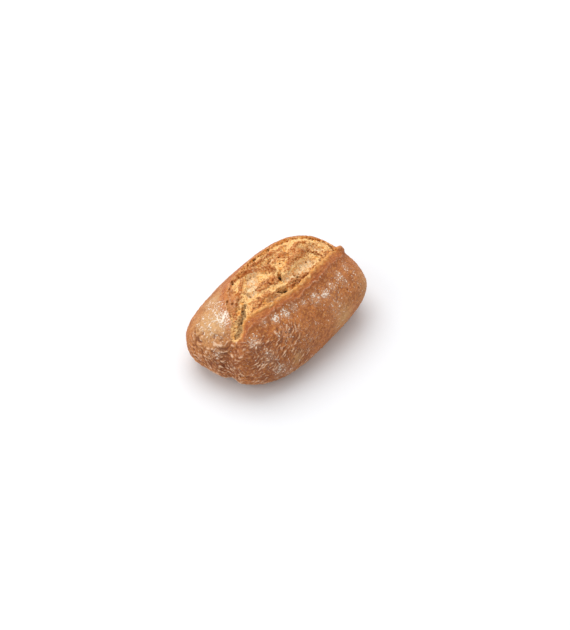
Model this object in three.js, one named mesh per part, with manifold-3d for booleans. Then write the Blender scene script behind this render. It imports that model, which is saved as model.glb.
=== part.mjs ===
/**
 * Bread roll: one oblong, hand-shaped rustic roll, slashed once along the top and baked open.
 *
 * Baked as one piece, so it is modelled as one closed body. Millimetres, +Z up.
 * The origin is the bottom centre of the roll's box, on the small flat spot it rests on.
 * +X runs along the roll, toward the end where the slash stops blunt; the pinched seam is at -X.
 * -Y is the flank under the raised lip of the slash.
 */
import * as THREE from 'three';
import { ImprovedNoise } from 'three/addons/math/ImprovedNoise.js';
import { mergeVertices } from 'three/addons/utils/BufferGeometryUtils.js';
import Module from 'manifold-3d';

// ---- overall size, mm ----
const LENGTH = 120;
const WIDTH = 73;
const HEIGHT = 50;

// ---- form of the plain body, before it is slashed ----
const WIDEST_HEIGHT = 21.6; // height above the table where the roll is widest
const UNDERSIDE_DEPTH = 24; // depth below the widest line before the base was flattened
const PLAN_SQUARENESS = 2.95; // 2 is an ellipse seen from above, larger is squarer
const CROWN_SQUARENESS = 1.82;
const UNDERSIDE_SQUARENESS = 3.2;
const END_TAPER = 0.02; // share of the width the +X end gains over the middle
const SIDEWAYS_BEND = 2; // how far both ends swing toward +Y

// ---- the slash: its rim seen from above, near side first, then back along the far side ----
const SLASH_RIM = [
  [-48, -7], [-38, -8], [-26, -11], [-12, -13], [6, -14], [22, -12], [36, -10], [49, -7],
  [53, 3], [49, 13], [40, 20], [26, 25], [8, 26.5], [-12, 24], [-27, 18.5], [-37, 10], [-43, 1],
];
const SLASH_CENTRE = [4, 6]; // every part of the rim can be seen from here
const NEAR_SIDE_Y = -4; // the rim below this line is the raised near lip
const LIP_RISE_NEAR = 2.4;
const LIP_RISE_FAR = 1;
const LIP_WIDTH = 4.2;
const FOLD_OFFSET = 7; // from the near lip out to the second fold of skin
const FOLD_RISE = 1;
const FOLD_WIDTH = 2;
const TEAR_WIDTH = 1.8; // from the crest of a lip in to the bottom of the groove
const GROOVE_DEPTH = 3;
const GROOVE_WIDTH = 3.4;
const CRUMB_DROP = 1.4; // crumb in the middle of the opening, below the plain body
const CRUMB_LUMP = 2;
const CRUMB_LUMP_SIZE = 7;
const SLASH_LOWEST = 26; // the slash shapes nothing below this height
const SLASH_FADE = 5;

// ---- lumps and hollows on the body: centre, reach in x y z, rise (negative is a hollow) ----
const SWELLINGS = [
  { name: 'lobe beside the seam', at: [-54, 17, 18], reach: [12, 15, 13], rise: 3.4 },
  { name: 'foot of the seam', at: [-57, -18, 18], reach: [7, 7, 9], rise: -1.6 },
  { name: 'bulge at the foot of the near flank', at: [-34, -34, 14], reach: [18, 10, 12], rise: 1.6 },
  { name: 'corner of the near flank at +X', at: [46, -31, 26], reach: [12, 11, 14], rise: 3.2 },
  { name: 'hollow at the foot of the near flank', at: [24, -37, 8], reach: [20, 9, 10], rise: -2 },
  { name: 'hollow of the far shoulder', at: [-30, 28, 36], reach: [14, 10, 11], rise: -2.2 },
  { name: 'tip of the near lip', at: [48, -9, 38], reach: [5, 4, 6], rise: 2.4 },
  { name: 'notch behind the tip', at: [50, -1, 37], reach: [5, 3.5, 6], rise: -2 },
  { name: 'pocket near the seam end', at: [-18, 6, 48], reach: [9, 5, 8], rise: -3 },
  { name: 'pocket under the far lip', at: [4, 15, 46], reach: [8, 5, 8], rise: -2.2 },
  { name: 'middle pocket', at: [17, -5, 47], reach: [8, 4.5, 8], rise: -3 },
  { name: 'pocket near the blunt end', at: [36, 1, 44], reach: [8, 5, 8], rise: -2.4 },
  { name: 'torn hole', at: [-9, -9, 47], reach: [3.5, 2.6, 8], rise: -3 },
  { name: 'ridge across the opening', at: [-1, 4, 49], reach: [7, 9, 8], rise: 1.4 },
  { name: 'ridge by the middle pocket', at: [12, 7, 48], reach: [5, 9, 8], rise: 1.2 },
];

// ---- the pinched seam that runs from the end of the slash down the -X end ----
const SEAM = [[-46, -7, 40], [-54, -7, 33], [-58, -10, 26], [-58, -17, 18], [-54, -20, 8], [-46, -21, 0]];
const SEAM_DEPTH = 5;
const SEAM_WIDTH = 4;

// ---- mesh: rings run from the middle of the opening out over the rim and down to the base ----
const SPOKES = 136;
const CRUMB_RINGS = 13; // rings inside the rim
const CRUST_RINGS = 20; // rings from the rim down to LOWEST_ANGLE
const LOWEST_ANGLE = -50; // degrees below level, well inside the flat spot
const RIM_CROWDING = 1.5; // above 1 draws the crumb rings toward the rim
const RIM_POINTS = 120; // points used to measure the distance to the rim
const SEAM_POINTS = 30;
const SEARCH_REACH = 80; // mm, longer than any line from the middle to the surface
const SEARCH_STEP = 1;
const SEARCH_HALVINGS = 14;
const SLAB_MARGIN = 20; // how far the table slab runs past the roll

const CRUST = new THREE.MeshStandardMaterial({ color: 0xb07544, roughness: 0.78, metalness: 0 });

const { clamp, degToRad, lerp, smoothstep } = THREE.MathUtils;
const noise = new ImprovedNoise();

/** Evenly spaced points on a smooth curve through the given corners. */
function curvePoints(corners, count, closed) {
  const nodes = corners.map(([x, y, z = 0]) => new THREE.Vector3(x, y, z));
  return new THREE.CatmullRomCurve3(nodes, closed, 'centripetal').getSpacedPoints(count);
}

const rim = curvePoints(SLASH_RIM, RIM_POINTS, true);
const seam = curvePoints(SEAM, SEAM_POINTS, false);

/** Smooth hill, 1 where the ratio is 0 and close to 0 where it is beyond 2. */
function hill(...ratios) {
  return Math.exp(-ratios.reduce((sum, ratio) => sum + ratio * ratio, 0));
}

/** Rough signed distance to the plain body, negative inside. */
function bodyDistance({ x, y, z }) {
  const height = z - WIDEST_HEIGHT;
  const depth = height > 0 ? HEIGHT - WIDEST_HEIGHT : UNDERSIDE_DEPTH;
  const squareness = height > 0 ? CROWN_SQUARENESS : UNDERSIDE_SQUARENESS;
  const along = x / (LENGTH / 2);
  const across = (y - SIDEWAYS_BEND * along * along) / ((WIDTH / 2) * (1 + END_TAPER * along));
  const plan = Math.abs(along) ** PLAN_SQUARENESS + Math.abs(across) ** PLAN_SQUARENESS;
  const level = plan ** (squareness / PLAN_SQUARENESS) + Math.abs(height / depth) ** squareness;
  const share = Math.max(level ** (1 / squareness), 0.05); // 1 on the surface
  return (1 - 1 / share) * Math.sqrt(x * x + y * y + height * height);
}

/** Signed distance to the slash rim seen from above, positive inside the opening. */
function rimDistance(x, y) {
  let nearest = Infinity;
  let inside = false;
  for (let i = 0; i < RIM_POINTS; i += 1) {
    const a = rim[i];
    const b = rim[i + 1];
    const dx = b.x - a.x;
    const dy = b.y - a.y;
    const t = clamp(((x - a.x) * dx + (y - a.y) * dy) / (dx * dx + dy * dy), 0, 1);
    nearest = Math.min(nearest, (x - a.x - t * dx) ** 2 + (y - a.y - t * dy) ** 2);
    if ((a.y > y) !== (b.y > y) && x < a.x + (dx * (y - a.y)) / dy) {
      inside = !inside;
    }
  }
  return inside ? Math.sqrt(nearest) : -Math.sqrt(nearest);
}

/** Height the slash adds to the body: raised lips outside the rim, groove and torn crumb inside. */
function slashRise({ x, y, z }) {
  const fade = smoothstep(z, SLASH_LOWEST, SLASH_LOWEST + SLASH_FADE);
  if (fade === 0) {
    return 0;
  }
  const inward = rimDistance(x, y);
  const near = 1 - smoothstep(y, NEAR_SIDE_Y, NEAR_SIDE_Y + LIP_WIDTH);
  const crest = lerp(LIP_RISE_FAR, LIP_RISE_NEAR, near);
  if (inward < 0) {
    const fold = near * FOLD_RISE * hill((inward + FOLD_OFFSET) / FOLD_WIDTH);
    return fade * (crest * hill(inward / LIP_WIDTH) + fold);
  }
  const groove = GROOVE_DEPTH * hill((inward - TEAR_WIDTH) / GROOVE_WIDTH);
  const lump = CRUMB_LUMP * noise.noise(x / CRUMB_LUMP_SIZE, y / CRUMB_LUMP_SIZE, 0);
  return fade * lerp(crest, lump - CRUMB_DROP - groove, smoothstep(inward, 0, TEAR_WIDTH));
}

/** Height added by the listed swellings and hollows. */
function swellingRise({ x, y, z }) {
  return SWELLINGS.reduce((sum, { at, reach, rise }) => (
    sum + rise * hill((x - at[0]) / reach[0], (y - at[1]) / reach[1], (z - at[2]) / reach[2])
  ), 0);
}

/** Depth the pinched seam takes off at a point. */
function seamDepth(point) {
  const nearest = Math.min(...seam.map((at) => at.distanceToSquared(point)));
  return SEAM_DEPTH * hill(Math.sqrt(nearest) / SEAM_WIDTH);
}

/** Signed distance to the finished roll, negative inside. */
function rollDistance(point) {
  return bodyDistance(point) - slashRise(point) - swellingRise(point) + seamDepth(point);
}

/** Outermost point of the roll's surface on a ray from a point inside it. */
function settle(inside, direction) {
  const at = (reach) => inside.clone().addScaledVector(direction, reach);
  let inner = SEARCH_REACH;
  while (inner > 0 && rollDistance(at(inner)) > 0) {
    inner -= SEARCH_STEP;
  }
  let outer = inner + SEARCH_STEP;
  for (let i = 0; i < SEARCH_HALVINGS; i += 1) {
    const middle = (inner + outer) / 2;
    if (rollDistance(at(middle)) > 0) {
      outer = middle;
    } else {
      inner = middle;
    }
  }
  return at(inner);
}

const heart = new THREE.Vector3(...SLASH_CENTRE, WIDEST_HEIGHT);
const UP = new THREE.Vector3(0, 0, 1);

/** Point of the surface straight above or below a place in plan, a share of the way to the rim. */
function crumbPoint(spoke, rimReach, share) {
  return settle(heart.clone().addScaledVector(spoke, rimReach * share), UP);
}

/** Distance from the slash's centre to its rim along a level direction. */
function reachOfRim(spoke) {
  let [inner, outer] = [0, LENGTH];
  for (let i = 0; i < SEARCH_HALVINGS; i += 1) {
    const middle = (inner + outer) / 2;
    if (rimDistance(heart.x + spoke.x * middle, heart.y + spoke.y * middle) > 0) {
      inner = middle;
    } else {
      outer = middle;
    }
  }
  return inner;
}

/** The points of one spoke, ring by ring, from the middle of the opening down to the base. */
function spokePoints(turn) {
  const spoke = new THREE.Vector3(LENGTH * Math.cos(turn), WIDTH * Math.sin(turn), 0).normalize();
  const rimReach = reachOfRim(spoke);
  const points = [];
  for (let ring = 0; ring <= CRUMB_RINGS; ring += 1) {
    points.push(crumbPoint(spoke, rimReach, 1 - (1 - ring / CRUMB_RINGS) ** RIM_CROWDING));
  }
  const crest = points[CRUMB_RINGS];
  const crestAngle = Math.atan2(crest.z - heart.z, rimReach);
  for (let ring = 1; ring <= CRUST_RINGS; ring += 1) {
    const angle = lerp(crestAngle, degToRad(LOWEST_ANGLE), ring / CRUST_RINGS);
    const direction = spoke.clone().multiplyScalar(Math.cos(angle)).addScaledVector(UP, Math.sin(angle));
    points.push(settle(heart, direction));
  }
  points.push(settle(heart, UP.clone().negate()));
  return points;
}

/** The whole roll before its base is flattened: a sphere's grid moved onto the surface. */
function roundRoll() {
  const rings = CRUMB_RINGS + CRUST_RINGS + 1;
  const sphere = new THREE.SphereGeometry(1, SPOKES, rings);
  const position = sphere.getAttribute('position');
  for (let column = 0; column <= SPOKES; column += 1) {
    const points = spokePoints((2 * Math.PI * (column % SPOKES)) / SPOKES);
    for (let ring = 0; ring <= rings; ring += 1) {
      position.setXYZ(ring * (SPOKES + 1) + column, ...points[ring]);
    }
  }
  return bare(sphere);
}

/** A slab whose top is the table, used to flatten the base. */
function tableSlab() {
  const side = LENGTH + 2 * SLAB_MARGIN;
  const slab = new THREE.BoxGeometry(side, side, SLAB_MARGIN);
  slab.translate(0, 0, -SLAB_MARGIN / 2);
  return bare(slab);
}

/** The same geometry with positions only and shared corners, closed enough to cut. */
function bare(geometry) {
  geometry.deleteAttribute('normal');
  geometry.deleteAttribute('uv');
  return mergeVertices(geometry);
}

/** Stretches a shape so its box has the driving sizes and its base centre is the origin. */
function fitToSize(geometry) {
  geometry.computeBoundingBox();
  const size = geometry.boundingBox.getSize(new THREE.Vector3());
  const centre = geometry.boundingBox.getCenter(new THREE.Vector3());
  geometry.translate(-centre.x, -centre.y, -geometry.boundingBox.min.z);
  geometry.scale(LENGTH / size.x, WIDTH / size.y, HEIGHT / size.z);
  return geometry;
}

const wasm = await Module();
wasm.setup();

function toManifold(geometry) {
  return new wasm.Manifold(new wasm.Mesh({
    numProp: 3,
    vertProperties: new Float32Array(geometry.getAttribute('position').array),
    triVerts: new Uint32Array(geometry.index.array),
  }));
}

function toGeometry(solid) {
  const mesh = solid.getMesh();
  const geometry = new THREE.BufferGeometry();
  geometry.setAttribute('position', new THREE.BufferAttribute(mesh.vertProperties, 3));
  geometry.setIndex(new THREE.BufferAttribute(mesh.triVerts, 1));
  return geometry;
}

const solid = toManifold(roundRoll()).subtract(toManifold(tableSlab()));
const geometry = fitToSize(toGeometry(solid));
geometry.computeVertexNormals();

const roll = new THREE.Mesh(geometry, CRUST);
roll.name = 'bread_roll';

const group = new THREE.Group();
group.name = 'bread_roll_part';
group.add(roll);

export default group;
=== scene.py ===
"""Looks of a rustic wholegrain bread roll, slashed once and baked open.

The roll is one piece of bread. Its surface is grown as a solid field in millimetres: a plain
hand-shaped body, a slash with a raised lip, torn crumb with pockets and pores, and a pinched seam.
The field is turned into one fine mesh, creased and roughened, and dressed with baked crust, torn
crumb and dusted flour. Everything is placed in the box of the CAD solid it stands for.
"""

import logging
import math
from dataclasses import dataclass, field
from enum import Enum
from functools import cache
from typing import Sequence

import bpy
import numpy as np
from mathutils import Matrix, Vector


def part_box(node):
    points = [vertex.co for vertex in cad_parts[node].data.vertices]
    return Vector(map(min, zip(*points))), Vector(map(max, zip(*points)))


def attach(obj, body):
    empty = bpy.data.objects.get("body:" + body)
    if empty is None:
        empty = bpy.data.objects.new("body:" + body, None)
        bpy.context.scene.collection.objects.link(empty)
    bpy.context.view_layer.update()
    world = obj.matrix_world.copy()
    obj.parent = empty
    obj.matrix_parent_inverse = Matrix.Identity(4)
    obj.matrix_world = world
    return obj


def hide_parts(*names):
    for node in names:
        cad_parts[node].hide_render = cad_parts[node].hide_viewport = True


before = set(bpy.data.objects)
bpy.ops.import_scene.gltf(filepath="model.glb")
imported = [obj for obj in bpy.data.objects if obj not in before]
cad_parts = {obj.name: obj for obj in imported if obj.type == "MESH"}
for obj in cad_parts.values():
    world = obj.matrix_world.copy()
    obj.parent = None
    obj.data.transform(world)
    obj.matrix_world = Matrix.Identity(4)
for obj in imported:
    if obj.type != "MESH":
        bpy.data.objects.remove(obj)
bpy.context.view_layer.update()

import openvdb
from mathutils import Vector

LOG = logging.getLogger("bread_roll")
MM = 0.001
Array = np.ndarray
Axes = tuple[Array, Array, Array]
Colour = tuple[float, float, float]
Size = float | tuple[float, float, float]
Layers = tuple[tuple[float, Size, float], ...]


def smooth(low: float, high: float, value: Array) -> Array:
    """Rise smoothly from 0 at low to 1 at high; low may be the larger of the two."""
    share = np.clip((value - low) / (high - low), 0.0, 1.0)
    return share * share * (3.0 - 2.0 * share)


def blend(low: Array, high: Array, share: Array) -> Array:
    """Mix two values by a share from 0 to 1."""
    return low + (high - low) * share


def linear(red: int, green: int, blue: int) -> Colour:
    """Turn a colour as a screen shows it, 0 to 255, into the linear values a shader takes."""
    channels = [channel / 255.0 for channel in (red, green, blue)]
    return tuple(c / 12.92 if c <= 0.04045 else ((c + 0.055) / 1.055) ** 2.4 for c in channels)


def at_height_zero(plan: Array) -> Array:
    """Places seen from above, laid on the table: x, y and a height of 0."""
    return np.column_stack([plan, np.zeros(len(plan))]).astype(np.float32)


# --------------------------------------------------------------------------- shape of the dough


class DoughNoise:
    """Seeded smooth noise that roughens the dough the same way on every run."""

    def __init__(self, seed: int) -> None:
        """Shuffle the table of slopes.

        Args:
            seed: picks one of many alike patterns.
        """
        source = np.random.default_rng(seed)
        order = source.permutation(256).astype(np.int32)
        self.order = np.concatenate([order, order])
        slopes = source.normal(size=(256, 3))
        self.slopes = (slopes / np.linalg.norm(slopes, axis=1, keepdims=True)).astype(np.float32)

    def value(self, places: Array, size: Size) -> Array:
        """Smooth noise from about -1 to 1.

        Args:
            places: points in mm, one row each.
            size: width of one lump in mm, or one width for each axis.

        Returns:
            One value for each point.
        """
        scaled = (places / np.asarray(size, np.float32)).astype(np.float32)
        floor = np.floor(scaled)
        local = scaled - floor
        cell = floor.astype(np.int32) & 255
        ease = local * local * local * (local * (local * 6.0 - 15.0) + 10.0)
        total = np.zeros(len(places), np.float32)
        for corner in range(8):
            step = (corner & 1, (corner >> 1) & 1, corner >> 2)
            first = self.order[cell[:, 0] + step[0]]
            second = self.order[(first + cell[:, 1] + step[1]) & 255]
            slope = self.slopes[self.order[(second + cell[:, 2] + step[2]) & 255]]
            weight = np.ones(len(places), np.float32)
            reach = np.zeros(len(places), np.float32)
            for axis in range(3):
                weight *= ease[:, axis] if step[axis] else 1.0 - ease[:, axis]
                reach += slope[:, axis] * (local[:, axis] - step[axis])
            total += weight * reach
        return total * 1.6

    def layered(self, places: Array, size: float, layers: int, gain: float = 0.5) -> Array:
        """Noise with finer noise on it, from about -1 to 1.

        Args:
            places: points in mm, one row each.
            size: width of the largest lumps in mm.
            layers: how many times the size is halved, counting the first.
            gain: share of its height that each finer layer keeps.

        Returns:
            One value for each point.
        """
        total = np.zeros(len(places), np.float32)
        height, sum_of_heights = 1.0, 0.0
        for layer in range(layers):
            total += height * self.value(places + 17.3 * layer, size * 0.5**layer)
            sum_of_heights += height
            height *= gain
        return total / sum_of_heights * 1.3

    def torn(self, places: Array, size: Size) -> Array:
        """Sharp crests, 1 on a crest and falling toward 0 between crests."""
        return 1.0 - np.minimum(np.abs(self.value(places, size)) * 2.2, 1.0)

    def sum(self, places: Array, layers: Layers) -> Array:
        """The sum of layers of noise, each with its shift, lump width and height in mm."""
        return sum(height * self.value(places + shift, size) for shift, size, height in layers)

    def three(self, places: Array, shifts: Sequence[float], size: float) -> Array:
        """Three unlike noises side by side, to push points about with."""
        return np.column_stack([self.value(places + shift, size) for shift in shifts])


@dataclass(frozen=True)
class PlainBody:
    """The proved roll before it is slashed: an oblong, flat-bottomed, rounded body, in mm."""

    length: float = 120.0
    width: float = 73.0
    height: float = 50.0
    widest_height: float = 21.6
    underside_depth: float = 24.0
    plan_squareness: float = 2.95
    crown_squareness: float = 1.82
    underside_squareness: float = 3.2
    end_taper: float = 0.02
    sideways_bend: float = 2.0

    def distance(self, x: Array, y: Array, z: Array) -> Array:
        """Rough signed distance to the body; the arrays broadcast.

        Args:
            x: places along the roll in mm.
            y: places across it.
            z: heights.

        Returns:
            The distance in mm, negative inside.
        """
        rise = z - self.widest_height
        upper = rise > 0
        depth = np.where(upper, self.height - self.widest_height, self.underside_depth)
        squareness = np.where(upper, self.crown_squareness, self.underside_squareness)
        along = x / (self.length / 2)
        half_width = self.width / 2 * (1 + self.end_taper * along)
        across = (y - self.sideways_bend * along**2) / half_width
        plan = np.abs(along) ** self.plan_squareness + np.abs(across) ** self.plan_squareness
        level = plan ** (squareness / self.plan_squareness) + np.abs(rise / depth) ** squareness
        share = np.maximum(level ** (1 / squareness), 0.05)
        return (1 - 1 / share) * np.sqrt(x * x + y * y + rise * rise)


@dataclass(frozen=True)
class Swelling:
    """A soft lump or hollow in the dough, in mm."""

    at: tuple[float, float, float]
    reach: tuple[float, float, float]
    rise: float

    def height(self, x: Array, y: Array, z: Array) -> Array:
        """Height the lump adds; arrays broadcast, one factor for each axis."""
        fall = [np.exp(-(((v - c) / r) ** 2)) for v, c, r in zip((x, y, z), self.at, self.reach)]
        return self.rise * fall[0] * fall[1] * fall[2]


BODY_SWELLINGS = (
    Swelling((-54, 17, 18), (12, 15, 13), 3.4),  # lobe beside the seam
    Swelling((-34, -34, 14), (18, 10, 12), 1.6),  # bulge at the foot of the near flank
    Swelling((46, -31, 26), (12, 11, 14), 3.2),  # corner of the near flank
    Swelling((24, -37, 8), (20, 9, 10), -2.0),  # hollow at the foot of the near flank
    Swelling((-30, 28, 36), (14, 10, 11), -2.2),  # hollow of the far shoulder
    Swelling((50, -7.4, 39), (3.4, 2.2, 5), 5.0),  # tip of the near lip
    Swelling((51, -3.2, 38), (7, 1.6, 7), -5.0),  # notch behind the tip
)


def risen_body(body: PlainBody, x: Array, y: Array, z: Array) -> Array:
    """The plain body with its lumps and hollows; the arrays broadcast.

    Args:
        body: the plain body.
        x: places along the roll in mm.
        y: places across it.
        z: heights.

    Returns:
        The distance to it in mm, negative inside.
    """
    values = body.distance(x, y, z).astype(np.float32)
    for swelling in BODY_SWELLINGS:
        values -= swelling.height(x, y, z).astype(np.float32)
    return values


def smooth_line(corners: Sequence[Sequence[float]], closed: bool, per_span: int = 8) -> Array:
    """Points on a smooth curve through the given corners.

    Args:
        corners: points the curve passes through, in mm.
        closed: whether the curve returns to its first corner.
        per_span: points between two corners.

    Returns:
        The points, one row each; a closed curve repeats its first point at the end.
    """
    nodes = np.asarray(corners, np.float32)
    if closed:
        nodes = np.vstack([nodes[-1], nodes, nodes[:2]])
    else:
        nodes = np.vstack([2 * nodes[0] - nodes[1], nodes, 2 * nodes[-1] - nodes[-2]])
    share = np.linspace(0, 1, per_span, endpoint=False, dtype=np.float32)[:, None]
    spans = []
    for a, b, c, d in zip(nodes, nodes[1:], nodes[2:], nodes[3:]):
        bend = (2 * a - 5 * b + 4 * c - d) * share**2 + (3 * b - a - 3 * c + d) * share**3
        spans.append(b + 0.5 * ((c - a) * share + bend))
    spans.append(nodes[-2][None])
    return np.vstack(spans)


def distance_to_line(places: Array, line: Array) -> Array:
    """Distance from each point to a chain of straight pieces, in two or three axes.

    Args:
        places: the points in mm.
        line: the ends of the straight pieces in mm.

    Returns:
        One distance in mm for each point.
    """
    nearest = np.full(len(places), np.inf, np.float32)
    for start, end in zip(line, line[1:]):
        step = end - start
        share = np.clip((places - start) @ step / max(float(step @ step), 1e-6), 0, 1)
        gap = places - start - share[:, None] * step
        nearest = np.minimum(nearest, np.einsum("ij,ij->i", gap, gap))
    return np.sqrt(nearest)


class CrumbForm(Enum):
    """What the torn crumb does at one place."""

    RIDGE = "ridge"
    POCKET = "pocket"
    VALLEY = "valley"
    HOLE = "hole"


@dataclass(frozen=True)
class CrumbFeature:
    """One ridge, pocket, valley or hole in the torn crumb, seen from above, in mm."""

    form: CrumbForm
    line: tuple[tuple[float, float], ...]
    half_width: float
    rise: float

    def share(self, plan: Array, ragged: Array) -> Array:
        """How strongly the feature is present, 0 to 1.

        Args:
            plan: x and y of each place.
            ragged: noise that frays the feature's edge.

        Returns:
            One share for each place.
        """
        line = np.asarray(self.line, np.float32)
        if len(line) == 1:
            line = np.vstack([line, line + 0.01])
        gap = distance_to_line(plan, line) / self.half_width
        if self.form is CrumbForm.RIDGE:
            return np.exp(-(gap * (1 + RIDGE_FRAY * ragged)) ** 2)
        outer_edge, inner_edge, fray = HOLE_EDGE if self.form is CrumbForm.HOLE else SOFT_EDGE
        return smooth(outer_edge, inner_edge, gap + fray * ragged)


RIDGE_FRAY = 0.35
HOLE_EDGE = (1.15, 0.72, 0.32)  # outer end, inner end and fraying, in half-widths
SOFT_EDGE = (1.3, 0.55, 0.6)
RIDGE, POCKET, VALLEY, HOLE = CrumbForm
SKIN_FLAP = CrumbFeature(RIDGE, ((-22, 21.5), (-27, 17), (-32, 11), (-36.5, 5)), 2.6, 1.7)
CRUMB_FEATURES = (
    CrumbFeature(RIDGE, ((-20, 21), (-14, 19.5), (-9, 17), (-5, 13), (-2, 8.5), (0, 4)), 1.6, 2.4),
    CrumbFeature(RIDGE, ((-16, 15), (-24, 10), (-31, 7), (-37, 3), (-41, -1)), 1.3, 1.2),
    SKIN_FLAP,  # a strip of skin lifted from the far rim
    CrumbFeature(RIDGE, ((-3, 19), (4, 18.5), (11, 17.5), (17, 16), (24, 16)), 1.8, 1.3),
    CrumbFeature(RIDGE, ((24, 8), (24, 3), (16, 2), (11, 1), (7, -1)), 2.4, 1.5),
    CrumbFeature(RIDGE, ((25, 3), (30, 2.5), (33, -1), (33, -6)), 1.3, 1.4),
    CrumbFeature(RIDGE, ((26, 10), (32, 12), (37, 10), (36, 5)), 1.3, 1.2),
    CrumbFeature(RIDGE, ((37, -6), (43, -5.5), (48, -5)), 2.2, 1.6),
    CrumbFeature(RIDGE, ((-3, -10), (6, -11.5), (16, -11), (24, -9.5)), 1.8, 1.3),
    CrumbFeature(RIDGE, ((-19, 3), (-12, 0), (-5, -2)), 3.0, 1.2),
    CrumbFeature(RIDGE, ((-27, -6), (-20, -5), (-16, -6)), 2.6, 1.3),
    CrumbFeature(RIDGE, ((8, 10), (15, 10)), 3.4, 1.2),
    CrumbFeature(POCKET, ((-10, 12.5), (-15, 8), (-21, 3.5)), 3.6, -1.5),
    CrumbFeature(POCKET, ((-3, 14), (4, 13.7), (11, 13.2)), 2.2, -1.8),
    CrumbFeature(POCKET, ((11, -7), (18, -5.5), (24, -4.5)), 3.5, -1.7),
    CrumbFeature(POCKET, ((0, -6), (5, -6)), 2.8, -1.6),
    CrumbFeature(POCKET, ((28, 6.5), (34, 6)), 2.4, -2.2),
    CrumbFeature(POCKET, ((40, 7), (40, 1)), 3.2, -2.4),
    CrumbFeature(POCKET, ((-19, -9.5), (-13, -10.5)), 1.9, -1.8),
    CrumbFeature(VALLEY, ((-30, 1), (-33, -0.5), (-36, -3.5), (-40, -4.5), (-43, -6.5)),
                 1.2, -1.2),
    CrumbFeature(VALLEY, ((-38, -3.5), (-41, -5), (-45, -7)), 2.0, -0.8),
    CrumbFeature(HOLE, ((-10, -8.5), (-5.5, -10)), 1.7, -5.5),
    CrumbFeature(HOLE, ((0, -0.5), (-3, -4)), 1.2, -2.6),
    CrumbFeature(HOLE, ((9, -8), (5, -10)), 1.1, -2.4),
    CrumbFeature(HOLE, ((33, -4.5), (32, -1.5)), 1.0, -3.0),
    CrumbFeature(HOLE, ((43, -2),), 1.3, -3.4),
    CrumbFeature(HOLE, ((-20, 20),), 1.4, -3.4),
    CrumbFeature(HOLE, ((13, -12),), 0.9, -2.6),
    CrumbFeature(HOLE, ((-34, 7),), 0.8, -2.4),
    CrumbFeature(HOLE, ((10, 22), (14, 22.5)), 0.8, -2.2),
    CrumbFeature(HOLE, ((-4, 21.5), (1, 22)), 0.7, -2.0),
)


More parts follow.
